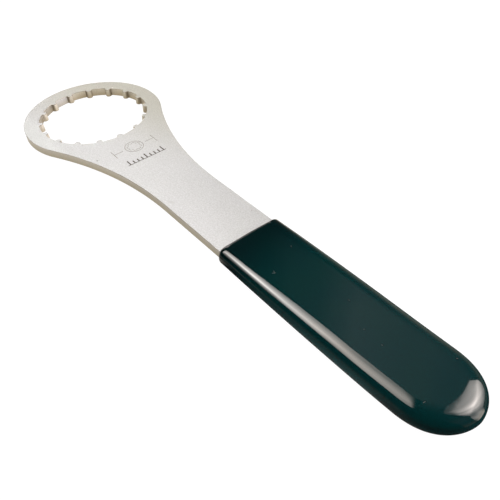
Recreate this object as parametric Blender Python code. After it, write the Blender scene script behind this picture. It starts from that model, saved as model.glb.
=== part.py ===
"""Flat ring spanner for notched bottom bracket cups, with a dipped grip.

Two pieces: one flat steel plate, cut in a single outline (toothed ring,
curved neck, straight bar and the round-ended tang inside the grip), and the
thick glossy vinyl coat that the tang was dipped into.

Frame, in metres: +X runs along the handle, from the ring to the grip's tip;
+Z is the plate's upward normal; the origin is at the middle of the tool's
bounding box, on the surface that the grip lies on.
"""

import math

import bmesh
import bpy

MM = 0.001

# ---------------------------------------------------------------- dimensions
# Toothed ring
CUP_RADIUS = 24.5 * MM  # bore between the teeth: the 49 mm cup's outside
TOOTH_COUNT = 16
TOOTH_TIP_RADIUS = 22.8 * MM  # ring centre to the tooth's crown
TOOTH_NOSE_RADIUS = 1.25 * MM  # each tooth is a half-round nose
TOOTH_FILLET = 0.4 * MM  # root fillet on both sides of a tooth
RING_RADIUS = 31.25 * MM  # outside of the ring

# Neck, bar and tang
PLATE_THICKNESS = 3.5 * MM
NECK_RADIUS = 134.0 * MM  # hollow curve from the ring to the bar
BAR_WIDTH = 24.0 * MM
TANG_TIP = 200.0 * MM  # ring centre to the tang's round end
EDGE_BREAK = 0.2 * MM  # small bevel on every cut edge

# Dipped grip; lengths along X are from the ring centre
GRIP_FRONT = 111.0 * MM
GRIP_WIDEST = 159.0 * MM
GRIP_TIP = 203.3 * MM
GRIP_HALF_WIDTH = 14.03 * MM  # at the widest place
GRIP_TAPER = 0.37 * MM  # lost at 40 mm from the widest place
GRIP_THICKNESS = 7.0 * MM
NOSE_START = 186.15 * MM  # where the sides turn into the round end
NOSE_REACH = 14.83 * MM  # how far the side's direction carries on
NOSE_BLUNTNESS = 3.02 * MM
SKEW_START = 170.0 * MM
TIP_SKEW = 0.58 * MM  # the coat hung slightly to one side as it set
LIP_RADIUS = 1.3 * MM  # rounded front rim of the coat
LIP_CORNER = 1.5 * MM
SHOULDER_SIDE = 6.0 * MM  # width of the curved shoulder along the sides
SHOULDER_END = 9.0 * MM  # and at the tip
SHOULDER_Z_POWER = 2.3
SHOULDER_XY_POWER = 3.0

# Room between the coat's inside and the tang
FIT_GAP = 0.3 * MM
CAVITY_CHAMFER = 0.35 * MM

# ------------------------------------------------------------ derived values
OVERALL_LENGTH = RING_RADIUS + GRIP_TIP
RING_X = RING_RADIUS - OVERALL_LENGTH / 2  # ring centre in the tool's frame
MID_Z = GRIP_THICKNESS / 2  # the plate lies in the middle of the grip
BAR_HALF = BAR_WIDTH / 2
NECK_CENTRE_Y = BAR_HALF + NECK_RADIUS
NECK_CENTRE_X = math.sqrt((RING_RADIUS + NECK_RADIUS) ** 2 - NECK_CENTRE_Y**2)
NECK_ANGLE = math.atan2(NECK_CENTRE_Y, NECK_CENTRE_X)


# ------------------------------------------------------------------- helpers
def arc(centre, radius, start, end, steps):
    """Points of an arc, both ends included."""
    points = []
    for i in range(steps + 1):
        a = start + (end - start) * i / steps
        points.append(
            (centre[0] + radius * math.cos(a), centre[1] + radius * math.sin(a))
        )
    return points


def without_repeats(points, least=1e-6):
    """A closed loop with neighbouring points that coincide made one."""
    kept = []
    for point in points:
        if not kept or math.dist(point, kept[-1]) > least:
            kept.append(point)
    if math.dist(kept[0], kept[-1]) <= least:
        kept.pop()
    return kept


def bar_outline(half_width, tip, steps):
    """Right-hand part of a bar with a full round end, from its lower side to its upper."""
    return arc((tip - half_width, 0.0), half_width, -math.pi / 2, math.pi / 2, steps)


def plate_outline(inset):
    """The plate's outside, anticlockwise: ring, lower neck, tang end, upper neck."""
    ring = arc(
        (0.0, 0.0), RING_RADIUS - inset, NECK_ANGLE, 2 * math.pi - NECK_ANGLE, 84
    )
    lower_neck = arc(
        (NECK_CENTRE_X, -NECK_CENTRE_Y),
        NECK_RADIUS + inset,
        math.pi - NECK_ANGLE,
        math.pi / 2,
        24,
    )
    tang_end = bar_outline(BAR_HALF - inset, TANG_TIP - inset, 32)
    upper_neck = arc(
        (NECK_CENTRE_X, NECK_CENTRE_Y),
        NECK_RADIUS + inset,
        -math.pi / 2,
        NECK_ANGLE - math.pi,
        24,
    )
    return without_repeats(ring + lower_neck + tang_end + upper_neck)


def bore_outline(inset):
    """The toothed bore, anticlockwise. Each tooth is a half-round nose with two root fillets."""
    nose_centre_r = TOOTH_TIP_RADIUS + TOOTH_NOSE_RADIUS
    fillet_centre_r = CUP_RADIUS - TOOTH_FILLET
    apart = TOOTH_NOSE_RADIUS + TOOTH_FILLET
    spread = math.acos(
        (nose_centre_r**2 + fillet_centre_r**2 - apart**2)
        / (2 * nose_centre_r * fillet_centre_r)
    )
    pitch = 2 * math.pi / TOOTH_COUNT
    points = []
    for i in range(TOOTH_COUNT):
        a = i * pitch
        nose = (nose_centre_r * math.cos(a), nose_centre_r * math.sin(a))
        before = (
            fillet_centre_r * math.cos(a - spread),
            fillet_centre_r * math.sin(a - spread),
        )
        # Direction from the first fillet's centre to the nose's, near a + 90 degrees.
        lean = math.atan2(nose[1] - before[1], nose[0] - before[0]) - a
        lean = lean % (2 * math.pi)
        after = (
            fillet_centre_r * math.cos(a + spread),
            fillet_centre_r * math.sin(a + spread),
        )
        points += arc(before, TOOTH_FILLET + inset, a - spread, a + lean, 4)
        points += arc(
            nose,
            TOOTH_NOSE_RADIUS - inset,
            a + lean - math.pi,
            a - lean - math.pi,
            12,
        )
        points += arc(after, TOOTH_FILLET + inset, a - lean, a + spread, 4)
        points += arc(
            (0.0, 0.0), CUP_RADIUS + inset, a + spread, a + pitch - spread, 4
        )
    return without_repeats(points)


def add_loop(bm, points, z):
    verts = [bm.verts.new((x, y, z)) for x, y in points]
    edges = [
        bm.edges.new((verts[i], verts[(i + 1) % len(verts)]))
        for i in range(len(verts))
    ]
    return verts, edges


def wall(bm, lower, upper):
    count = len(lower)
    for i in range(count):
        j = (i + 1) % count
        bm.faces.new((lower[i], lower[j], upper[j], upper[i]))


def finish(name, bm, location, parent, material, sharp_degrees):
    bmesh.ops.recalc_face_normals(bm, faces=bm.faces)
    mesh = bpy.data.meshes.new(name)
    bm.to_mesh(mesh)
    bm.free()
    mesh.shade_smooth()
    mesh.set_sharp_from_angle(angle=math.radians(sharp_degrees))
    if material:
        mesh.materials.append(material)
    piece = bpy.data.objects.new(name, mesh)
    bpy.context.scene.collection.objects.link(piece)
    piece.parent = parent
    piece.location = location
    return piece


def principled(name, colour, roughness, metallic):
    material = bpy.data.materials.new(name)
    material.use_nodes = True
    shader = material.node_tree.nodes["Principled BSDF"]
    shader.inputs["Base Color"].default_value = (*colour, 1.0)
    shader.inputs["Roughness"].default_value = roughness
    shader.inputs["Metallic"].default_value = metallic
    return material


# ----------------------------------------------------------------- the plate
def build_plate(parent, material):
    """The cut steel plate, with its origin at the ring's centre."""
    low, high = -PLATE_THICKNESS / 2, PLATE_THICKNESS / 2
    levels = (
        (low, EDGE_BREAK),
        (low + EDGE_BREAK, 0.0),
        (high - EDGE_BREAK, 0.0),
        (high, EDGE_BREAK),
    )
    bm = bmesh.new()
    outer = [add_loop(bm, plate_outline(inset), z) for z, inset in levels]
    inner = [add_loop(bm, bore_outline(inset), z) for z, inset in levels]
    for loops in (outer, inner):
        for (lower, _), (upper, _) in zip(loops, loops[1:]):
            wall(bm, lower, upper)
    for end in (0, -1):
        bmesh.ops.triangle_fill(
            bm,
            use_beauty=True,
            use_dissolve=False,
            edges=outer[end][1] + inner[end][1],
            normal=(0.0, 0.0, 1.0 if end else -1.0),
        )
    return finish(
        "wrench_plate", bm, (RING_X, 0.0, MID_Z), parent, material, 30
    )


# ------------------------------------------------------------------ the grip
def half_width(x):
    return GRIP_HALF_WIDTH - GRIP_TAPER * ((x - GRIP_WIDEST) / (40 * MM)) ** 2


def grip_side(narrower, shorter, side_steps, nose_steps):
    """One side of the grip in plan, from the front rim to the tip, at y >= 0.

    narrower and shorter move it in from the outline: the outline itself is
    (0, 0), and the edge of the flat face is (shoulder, shoulder at the end).
    """
    points = []
    for i in range(side_steps):
        x = GRIP_FRONT + LIP_CORNER + (NOSE_START - GRIP_FRONT - LIP_CORNER) * (
            i / side_steps
        )
        points.append((x, half_width(x) - narrower))
    tip = GRIP_TIP - shorter
    y0 = half_width(NOSE_START) - narrower
    slope = -2 * GRIP_TAPER * (NOSE_START - GRIP_WIDEST) / (40 * MM) ** 2
    reach = NOSE_REACH * (tip - NOSE_START) / (GRIP_TIP - NOSE_START)
    blunt = NOSE_BLUNTNESS * y0 / half_width(NOSE_START)
    corners = (
        (NOSE_START, y0),
        (NOSE_START + reach, y0 + slope * reach),
        (tip, blunt),
        (tip, 0.0),
    )
    for i in range(nose_steps + 1):
        t = i / nose_steps
        weights = ((1 - t) ** 3, 3 * t * (1 - t) ** 2, 3 * t * t * (1 - t), t**3)
        points.append(
            tuple(sum(w * c[k] for w, c in zip(weights, corners)) for k in (0, 1))
        )
    return points


def skewed(x, y):
    """The tip leans a little towards +Y."""
    past = max(x - SKEW_START, 0.0) / (GRIP_TIP - SKEW_START)
    return (x, y + TIP_SKEW * past**2)


def grip_loop(z, side_steps=12, nose_steps=18, corner_steps=4, front_steps=6):
    """The grip's outline at height z from its middle plane, as a closed loop."""
    half = GRIP_THICKNESS / 2
    up = min(abs(z) / half, 1.0)
    # How far across the shoulder this height is: 0 at the outline, 1 at the flat.
    across = 1 - max(1 - up**SHOULDER_Z_POWER, 0.0) ** (1 / SHOULDER_XY_POWER)
    # How far back the front rim has rounded at this height.
    over = min(max(abs(z) - (half - LIP_RADIUS), 0.0), LIP_RADIUS)
    back = LIP_RADIUS - math.sqrt(LIP_RADIUS**2 - over**2)

    outline = grip_side(0.0, 0.0, side_steps, nose_steps)
    flat = grip_side(SHOULDER_SIDE, SHOULDER_END, side_steps, nose_steps)
    side = []
    for (ox, oy), (fx, fy) in zip(outline, flat):
        # The front rim's setback fades out along the straight side.
        fade = max(0.0, (NOSE_START - ox) / (NOSE_START - GRIP_FRONT))
        side.append((ox + (fx - ox) * across + back * fade, oy + (fy - oy) * across))
    # Front rim: a straight edge with a rounded corner in plan.
    first_y = side[0][1]
    corner_radius = LIP_CORNER * (1 - 0.4 * across)
    front_x = GRIP_FRONT + back
    corner = [
        (
            front_x + corner_radius * (1 - math.cos(a)),
            first_y - corner_radius * (1 - math.sin(a)),
        )
        for a in (math.pi / 2 * i / corner_steps for i in range(corner_steps))
    ]
    front = [
        (front_x, corner[0][1] * i / front_steps) for i in range(front_steps)
    ]
    upper = front + corner + side  # from the middle of the rim round to the tip
    upper = [skewed(x, y) for x, y in upper]
    lower = [
        skewed(x, -y) for x, y in (front + corner + side)[1:-1]
    ]
    # Anticlockwise: lower side from the rim to the tip, then back along the upper.
    return without_repeats([upper[0]] + lower + upper[:0:-1])


def build_cutter(parent):
    """The tang with the fit gap all round it, reaching out past the front rim."""
    half = BAR_HALF + FIT_GAP
    top = PLATE_THICKNESS / 2 + FIT_GAP
    tip = TANG_TIP + FIT_GAP
    start = GRIP_FRONT - 6 * MM
    bm = bmesh.new()
    loops = []
    for z, inset in (
        (-top, CAVITY_CHAMFER),
        (-top + CAVITY_CHAMFER, 0.0),
        (top - CAVITY_CHAMFER, 0.0),
        (top, CAVITY_CHAMFER),
    ):
        h = half - inset
        outline = bar_outline(h, tip - inset, 32) + [(start, h), (start, -h)]
        loops.append(add_loop(bm, outline, z)[0])
    for lower, upper in zip(loops, loops[1:]):
        wall(bm, lower, upper)
    bm.faces.new(reversed(loops[0]))
    bm.faces.new(loops[-1])
    cutter = finish("tang_cavity", bm, (RING_X, 0.0, MID_Z), parent, None, 30)
    cutter.hide_render = True
    cutter.display_type = "WIRE"
    return cutter


def build_grip(parent, material, cutter):
    """The vinyl coat: a flat-topped pillow with a rounded tip, hollow for the tang."""
    half = GRIP_THICKNESS / 2
    steps = 8
    heights = []
    for i in range(steps + 1):
        u = math.cos(math.pi / 2 * i / steps)  # 1 at the outline, 0 at the flat
        heights.append(half * (1 - u**SHOULDER_XY_POWER) ** (1 / SHOULDER_Z_POWER))
    heights[0] = 0.0
    bm = bmesh.new()
    loops = [
        add_loop(bm, grip_loop(z), z)[0]
        for z in [-h for h in reversed(heights[1:])] + heights
    ]
    for lower, upper in zip(loops, loops[1:]):
        wall(bm, lower, upper)
    bm.faces.new(reversed(loops[0]))
    bm.faces.new(loops[-1])
    grip = finish(
        "grip_sleeve", bm, (RING_X, 0.0, MID_Z), parent, material, 40
    )
    hollow = grip.modifiers.new("tang_cavity", "BOOLEAN")
    hollow.operation = "DIFFERENCE"
    hollow.solver = "EXACT"
    hollow.object = cutter
    return grip


# -------------------------------------------------------------------- build
def main():
    for old in list(bpy.data.objects):
        bpy.data.objects.remove(old, do_unlink=True)
    steel = principled("satin_steel", (0.62, 0.61, 0.58), 0.38, 1.0)
    vinyl = principled("dipped_vinyl", (0.006, 0.028, 0.03), 0.16, 0.0)
    tool = bpy.data.objects.new("bottom_bracket_tool", None)
    tool.empty_display_size = 0.02
    bpy.context.scene.collection.objects.link(tool)
    build_plate(tool, steel)
    build_grip(tool, vinyl, build_cutter(tool))


main()
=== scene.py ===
"""Looks of the flat ring spanner with its dipped grip.

Both CAD nodes are simple prismatic solids of the right size. Each is replaced
by a finer mesh of the same form: the plate with tumbled round edges, and the
coat with its full shoulder, rim and mouth. Lengths are in millimetres and
along X from the ring's centre until place() puts them in the tool's frame.
"""

import math

import bmesh
import bpy
from mathutils import Matrix, Vector
from mathutils.geometry import tessellate_polygon


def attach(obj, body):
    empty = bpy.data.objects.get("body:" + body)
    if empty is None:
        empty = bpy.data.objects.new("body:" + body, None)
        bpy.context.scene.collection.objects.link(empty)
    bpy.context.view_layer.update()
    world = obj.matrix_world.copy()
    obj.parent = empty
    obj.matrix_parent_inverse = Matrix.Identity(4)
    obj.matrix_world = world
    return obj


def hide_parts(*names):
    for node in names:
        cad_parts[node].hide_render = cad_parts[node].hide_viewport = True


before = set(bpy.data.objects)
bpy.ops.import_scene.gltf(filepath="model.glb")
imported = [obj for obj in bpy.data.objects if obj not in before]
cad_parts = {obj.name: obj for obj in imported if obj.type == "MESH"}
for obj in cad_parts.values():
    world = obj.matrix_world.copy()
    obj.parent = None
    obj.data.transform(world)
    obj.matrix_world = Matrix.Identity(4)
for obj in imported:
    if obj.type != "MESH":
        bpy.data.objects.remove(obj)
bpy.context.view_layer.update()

# ------------------------------------------------- numbers shared with part.py
CUP_RADIUS = 24.5
TOOTH_COUNT = 16
TOOTH_TIP_RADIUS = 22.8
TOOTH_NOSE_RADIUS = 1.25
TOOTH_FILLET = 0.4
RING_RADIUS = 31.25
PLATE_THICKNESS = 3.5
NECK_RADIUS = 134.0
BAR_HALF = 12.0
TANG_TIP = 200.0
GRIP_FRONT = 111.0
GRIP_WIDEST = 159.0
GRIP_TIP = 203.3
GRIP_HALF_WIDTH = 14.03
GRIP_TAPER = 0.37
GRIP_HALF_THICKNESS = 3.5
NOSE_START = 186.15
NOSE_REACH = 14.83
NOSE_BLUNTNESS = 3.02
SKEW_START = 170.0
TIP_SKEW = 0.58
LIP_RADIUS = 1.3
LIP_NEAR_CORNER = 1.7
LIP_FAR_CORNER = 0.8
SHOULDER_SIDE = 6.0
SHOULDER_END = 9.0
SHOULDER_Z_POWER = 2.3
SHOULDER_XY_POWER = 3.0

RING_X = RING_RADIUS - (RING_RADIUS + GRIP_TIP) / 2
MID_Z = GRIP_HALF_THICKNESS
NECK_CENTRE_Y = BAR_HALF + NECK_RADIUS
NECK_CENTRE_X = math.sqrt((RING_RADIUS + NECK_RADIUS) ** 2 - NECK_CENTRE_Y**2)
NECK_ANGLE = math.atan2(NECK_CENTRE_Y, NECK_CENTRE_X)

# -------------------------------------------------------- numbers of the looks
EDGE_ROUND = 0.13  # tumbled round on every edge of the plate
EDGE_STEPS = 4
MARK_DEPTH = 0.03  # of the etched marks on the upper face
SYMBOL_X = 35.8
RULE_X = 46.6
COAT_CLEARANCE = 0.03  # between the coat's inside and the tang
FLOOR_GLOW = 1.0
TABLE_BOUNCE = 2.0
KEY_TINT = (1.0, 0.93, 0.89)
KEY_LEVEL = 0.76
WINDOW_TINT = (1.0, 0.90, 0.85)
WINDOW_LEVEL = 1.0
FAR_DIFFUSER = 1.0
TABLE_TONE = (1.0, 0.93, 0.82)
TABLE_BRIGHT = 1.0
TABLE_STOPS = [(-0.2, 0.03), (0.022, 0.03), (0.032, 0.03), (0.045, 0.08), (0.07, 0.17), (0.09, 0.20), (0.105, 0.11), (0.115, 0.04), (0.2, 0.03)]
ROOM_FILL = 0.005
FAR_LOW_TURN = [(62, 0.25), (97, 0.30), (105, 0.50), (109, 0.57), (113, 0.38), (116, 0.33), (120, 0.19), (124, 0.08), (140, 0.05), (150, 0.2), (165, 0.4), (178, 0.4)]
FAR_LOW_RISE = [(-5, 1.0), (15, 1.0), (20, 0.75), (25, 0.5), (30, 0.33), (35, 0.25), (42, 0.2), (48, 0.0)]
FAR_HIGH_TURN = [(62, 0.1), (97, 0.14), (107, 0.16), (112, 0.22), (116, 0.24), (120, 0.28), (124.5, 0.33), (128, 0.2), (131, 0.10), (136, 0.07), (139, 0.02), (178, 0.02)]
FAR_HIGH_RISE = [(40, 0.0), (46, 0.7), (50, 1.0), (57, 1.0), (64, 0.4), (78, 0.05)]
NEAR_ROOM_TURN = [(-149, 0.15), (-138, 0.05), (-126, 0.08), (-120, 0.4), (-114, 0.8), (-108, 1.0), (-100, 0.9), (-85, 0.4), (-65, 0.2)]
NEAR_ROOM_RISE = [(-5, 0.24), (5, 0.20), (12, 0.15), (20, 0.08), (28, 0.04), (40, 0.01), (75, 0.01)]


def place(x, y, z):
    """Millimetres from the ring's centre, z from the middle plane, to the tool's frame."""
    return ((x + RING_X) * 0.001, y * 0.001, (z + MID_Z) * 0.001)


class Shell:
    """A mesh built face by face, with a normal and a map position for each corner."""

    def __init__(self):
        self.points, self.faces = [], []
        self.normals, self.uvs, self.slots = [], [], []

    def add(self, x, y, z):
        self.points.append(place(x, y, z))
        return len(self.points) - 1

    def face(self, corners, normals, uvs, slot):
        self.faces.append(tuple(corners))
        self.normals.extend(normals)
        self.uvs.extend(uvs)
        self.slots.append(slot)

    def object(self, name, materials):
        mesh = bpy.data.meshes.new(name)
        mesh.from_pydata(self.points, [], self.faces)
        for material in materials:
            mesh.materials.append(material)
        mesh.polygons.foreach_set("material_index", self.slots)
        layer = mesh.uv_layers.new(name="cut")
        layer.data.foreach_set("uv", [c for uv in self.uvs for c in uv])
        mesh.shade_smooth()
        mesh.normals_split_custom_set(self.normals)
        mesh.update()
        made = bpy.data.objects.new(name, mesh)
        bpy.context.scene.collection.objects.link(made)
        return made


# ------------------------------------------------------------------ the plate
def arc(centre, radius, side, start, end, steps):
    """Arc as (x, y, nx, ny) rows; side is 1 if the metal is inside the arc's circle."""
    rows = []
    for i in range(steps + 1):
        a = start + (end - start) * i / steps
        c, s = math.cos(a), math.sin(a)
        rows.append((centre[0] + radius * c, centre[1] + radius * s, side * c, side * s))
    return rows


def merged(rows, closed=True):
    kept = []
    for row in rows:
        if not kept or math.dist(row[:2], kept[-1][:2]) > 1e-4:
            kept.append(row)
    if closed and math.dist(kept[0][:2], kept[-1][:2]) <= 1e-4:
        kept.pop()
    return kept


def straight(start, end, normal, steps):
    return [
        (
            start[0] + (end[0] - start[0]) * i / steps,
            start[1] + (end[1] - start[1]) * i / steps,
            *normal,
        )
        for i in range(steps + 1)
    ]


def plate_outline():
    ring = arc((0, 0), RING_RADIUS, 1, NECK_ANGLE, 2 * math.pi - NECK_ANGLE, 220)
    lower_neck = arc(
        (NECK_CENTRE_X, -NECK_CENTRE_Y), NECK_RADIUS, -1,
        math.pi - NECK_ANGLE, math.pi / 2, 90,
    )
    tang_start = TANG_TIP - BAR_HALF
    lower_bar = straight((NECK_CENTRE_X, -BAR_HALF), (tang_start, -BAR_HALF), (0, -1), 60)
    tang_end = arc((tang_start, 0), BAR_HALF, 1, -math.pi / 2, math.pi / 2, 64)
    upper_bar = straight((tang_start, BAR_HALF), (NECK_CENTRE_X, BAR_HALF), (0, 1), 60)
    upper_neck = arc(
        (NECK_CENTRE_X, NECK_CENTRE_Y), NECK_RADIUS, -1,
        -math.pi / 2, NECK_ANGLE - math.pi, 90,
    )
    return merged(ring + lower_neck + lower_bar + tang_end + upper_bar + upper_neck)


def bore_outline():
    nose_centre_r = TOOTH_TIP_RADIUS + TOOTH_NOSE_RADIUS
    fillet_centre_r = CUP_RADIUS - TOOTH_FILLET
    apart = TOOTH_NOSE_RADIUS + TOOTH_FILLET
    spread = math.acos(
        (nose_centre_r**2 + fillet_centre_r**2 - apart**2)
        / (2 * nose_centre_r * fillet_centre_r)
    )
    pitch = 2 * math.pi / TOOTH_COUNT
    rows = []
    for i in range(TOOTH_COUNT):
        a = i * pitch
        nose = (nose_centre_r * math.cos(a), nose_centre_r * math.sin(a))
        before = (fillet_centre_r * math.cos(a - spread), fillet_centre_r * math.sin(a - spread))
        after = (fillet_centre_r * math.cos(a + spread), fillet_centre_r * math.sin(a + spread))
        lean = (math.atan2(nose[1] - before[1], nose[0] - before[0]) - a) % (2 * math.pi)
        rows += arc(before, TOOTH_FILLET, -1, a - spread, a + lean, 6)
        rows += arc(nose, TOOTH_NOSE_RADIUS, 1, a + lean - math.pi, a - lean - math.pi, 20)
        rows += arc(after, TOOTH_FILLET, -1, a - lean, a + spread, 6)
        rows += arc((0, 0), CUP_RADIUS, -1, a + spread, a + pitch - spread, 10)
    return merged(rows)


def edge_levels():
    """(z, inset, tilt) rows up the plate's wall; tilt is 0 on the flats and 1 on the wall."""
    half, rows = PLATE_THICKNESS / 2, []
    for i in range(EDGE_STEPS + 1):
        a = math.pi / 2 * i / EDGE_STEPS
        rows.append((-half + EDGE_ROUND * (1 - math.cos(a)), EDGE_ROUND * (1 - math.sin(a)), a, -1))
    return rows + [(-z, inset, a, 1) for z, inset, a, _ in reversed(rows)]


def add_wall(shell, outline, wall_slot, edge_slot, flare=0.0):
    """The rounded wall along an outline, standing out by the flare at its foot.

    Returns the point indices of its lowest and highest loop.
    """
    count = len(outline)
    along = [0.0]
    for i in range(count):
        along.append(along[-1] + math.dist(outline[i][:2], outline[(i + 1) % count][:2]))
    loops = []
    for z, inset, a, up in edge_levels():
        inset -= flare * (0.5 - z / PLATE_THICKNESS)
        loops.append(
            [
                (
                    shell.add(x - nx * inset, y - ny * inset, z),
                    (nx * math.sin(a), ny * math.sin(a), up * math.cos(a)),
                    z,
                )
                for x, y, nx, ny in outline
            ]
        )
    for level, (lower, upper) in enumerate(zip(loops, loops[1:])):
        slot = wall_slot if level == EDGE_STEPS else edge_slot
        for i in range(count):
            j = (i + 1) % count
            corners = (lower[i], lower[j], upper[j], upper[i])
            spots = (along[i], along[i + 1], along[i + 1], along[i])
            shell.face(
                [c[0] for c in corners],
                [c[1] for c in corners],
                [(s * 0.001, c[2] * 0.001) for s, c in zip(spots, corners)],
                slot,
            )
    return [c[0] for c in loops[0]], [c[0] for c in loops[-1]]


def add_cap(shell, loops, up, slot=0):
    """Fills the flat region between loops of point indices; the first loop is the outer one."""
    flat = [i for loop in loops for i in loop]
    polylines = [[Vector((shell.points[i][0], shell.points[i][1], 0)) * 1000 for i in loop] for loop in loops]
    for triangle in tessellate_polygon(polylines):
        corners = [flat[i] for i in triangle]
        (ax, ay, _), (bx, by, _), (cx, cy, _) = (shell.points[i] for i in corners)
        turn = (bx - ax) * (cy - ay) - (by - ay) * (cx - ax)
        if abs(turn) < 1e-16:
            continue
        if (turn > 0) != (up > 0):
            corners.reverse()
        uvs = [(shell.points[i][0], shell.points[i][1]) for i in corners]
        shell.face(corners, [(0, 0, up)] * 3, uvs, slot)


def circle(x, y, radius, steps):
    return [
        (x + radius * math.cos(2 * math.pi * i / steps), y + radius * math.sin(2 * math.pi * i / steps))
        for i in range(steps)
    ]


def notched(x, y, radius, depth, count):
    """A circle with square notches cut inward."""
    rows = []
    for i in range(count):
        middle = 2 * math.pi * i / count
        wide = 2 * math.pi / count
        for turned, r in ((-0.22, radius), (-0.20, radius - depth), (0.20, radius - depth), (0.22, radius)):
            a = middle + turned * wide
            rows.append((x + r * math.cos(a), y + r * math.sin(a)))
        for n in range(1, 6):
            a = middle + (0.22 + 0.56 * n / 6) * wide
            rows.append((x + radius * math.cos(a), y + radius * math.sin(a)))
    return rows


def rule_row():
    """A plain row of ticks that stand on one line, like a rule's."""
    rows = [(RULE_X + 0.18, -9.1), (RULE_X + 0.18, 9.1), (RULE_X - 0.18, 9.1)]
    for i in range(4, -5, -1):
        y, top = 2.0 * i, RULE_X - (3.3 if i % 4 == 0 else 2.1)
        rows += [(RULE_X - 0.18, y + 0.27), (top, y + 0.27), (top, y - 0.27), (RULE_X - 0.18, y - 0.27)]
    return rows + [(RULE_X - 0.18, -9.1)]


def side_bar(side):
    """A narrow line beside the symbol, ending in a cross line."""
    half = 0.14
    rows = [
        (SYMBOL_X + half, 5.4), (SYMBOL_X + half, 9.6), (SYMBOL_X + 2.9, 9.6), (SYMBOL_X + 2.9, 9.88),
        (SYMBOL_X - 2.9, 9.88), (SYMBOL_X - 2.9, 9.6), (SYMBOL_X - half, 9.6), (SYMBOL_X - half, 5.4),
    ]
    return rows if side > 0 else [(x, -y) for x, y in reversed(rows)]


def add_mark(shell, outer, inner, slot):
    """A shallow recess between an outer loop and, if there is one, an inner loop, both anticlockwise.

    Returns the upper point indices of each.
    """
    top = PLATE_THICKNESS / 2
    highs, lows = [], []
    for loop in (outer, list(reversed(inner)) if inner else None):
        if loop is None:
            continue
        high = [shell.add(x, y, top) for x, y in loop]
        low = [shell.add(x, y, top - MARK_DEPTH) for x, y in loop]
        for i in range(len(loop)):
            j = (i + 1) % len(loop)
            dx, dy = loop[j][0] - loop[i][0], loop[j][1] - loop[i][1]
            size = math.hypot(dx, dy)
            corners = (high[i], high[j], low[j], low[i])
            uvs = [(shell.points[c][0], shell.points[c][1]) for c in corners]
            shell.face(corners, [(-dy / size, dx / size, 0)] * 4, uvs, slot)
        highs.append(high)
        lows.append(low)
    add_cap(shell, lows, 1, slot)
    return highs


def build_plate(materials):
    shell = Shell()
    outer_low, outer_high = add_wall(shell, plate_outline(), 1, 2)
    inner_low, inner_high = add_wall(shell, [row for row in reversed(bore_outline())], 3, 4, 0.15)
    add_cap(shell, [outer_low, inner_low], -1)
    rule = add_mark(shell, rule_row(), None, 5)
    ring = add_mark(shell, circle(SYMBOL_X, 0, 4.1, 72), circle(SYMBOL_X, 0, 3.84, 72), 6)
    cup = add_mark(shell, notched(SYMBOL_X, 0, 3.15, 0.45, 8), notched(SYMBOL_X, 0, 2.91, 0.45, 8), 6)
    bars = [add_mark(shell, side_bar(side), None, 6) for side in (1, -1)]
    add_cap(shell, [ring[1], cup[0]], 1)
    add_cap(shell, [cup[1]], 1)
    add_cap(shell, [outer_high, inner_high, rule[0], ring[0], bars[0][0], bars[1][0]], 1)
    return shell.object("cut_plate", materials)


# ------------------------------------------------------------------- the coat
def half_width(x):
    return GRIP_HALF_WIDTH - GRIP_TAPER * ((x - GRIP_WIDEST) / 40) ** 2


SIDE_STEPS, NOSE_STEPS, CORNER_STEPS = 64, 72, 10
MOUTH_STEPS, CHEEK_STEPS = 16, 3


def coat_side(narrower, shorter):
    """One side in plan, from behind the front corner to the tip; see grip_side in part.py."""
    rows = []
    start = GRIP_FRONT + LIP_NEAR_CORNER
    for i in range(SIDE_STEPS):
        x = start + (NOSE_START - start) * i / SIDE_STEPS
        rows.append((x, half_width(x) - narrower))
    tip = GRIP_TIP - shorter
    y0 = half_width(NOSE_START) - narrower
    slope = -2 * GRIP_TAPER * (NOSE_START - GRIP_WIDEST) / 40**2
    reach = NOSE_REACH * (tip - NOSE_START) / (GRIP_TIP - NOSE_START)
    blunt = NOSE_BLUNTNESS * y0 / half_width(NOSE_START)
    corners = (
        (NOSE_START, y0),
        (NOSE_START + reach, y0 + slope * reach),
        (tip, blunt),
        (tip, 0.0),
    )
    for i in range(NOSE_STEPS + 1):
        t = i / NOSE_STEPS
        weights = ((1 - t) ** 3, 3 * t * (1 - t) ** 2, 3 * t * t * (1 - t), t**3)
        rows.append(tuple(sum(w * c[k] for w, c in zip(weights, corners)) for k in (0, 1)))
    return rows


OUTLINE = coat_side(0.0, 0.0)
FLAT = coat_side(SHOULDER_SIDE, SHOULDER_END)


def skewed(x, y):
    past = max(x - SKEW_START, 0.0) / (GRIP_TIP - SKEW_START)
    return (x, y + TIP_SKEW * past**2)


def across_at(z):
    """How far in from the outline the coat's surface is at this height: 0 at the outline, 1 at the flat."""
    up = min(abs(z) / GRIP_HALF_THICKNESS, 1.0)
    return 1 - max(1 - up**SHOULDER_Z_POWER, 0.0) ** (1 / SHOULDER_XY_POWER)


def mouth_half(z):
    """Half width of the mouth at a height that it reaches, with the tang's rounded edges."""
    half = BAR_HALF + COAT_CLEARANCE
    over = abs(z) - (PLATE_THICKNESS / 2 + COAT_CLEARANCE - EDGE_ROUND)
    if over <= 0:
        return half
    return half - EDGE_ROUND + math.sqrt(max(EDGE_ROUND**2 - over**2, 0.0))


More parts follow.
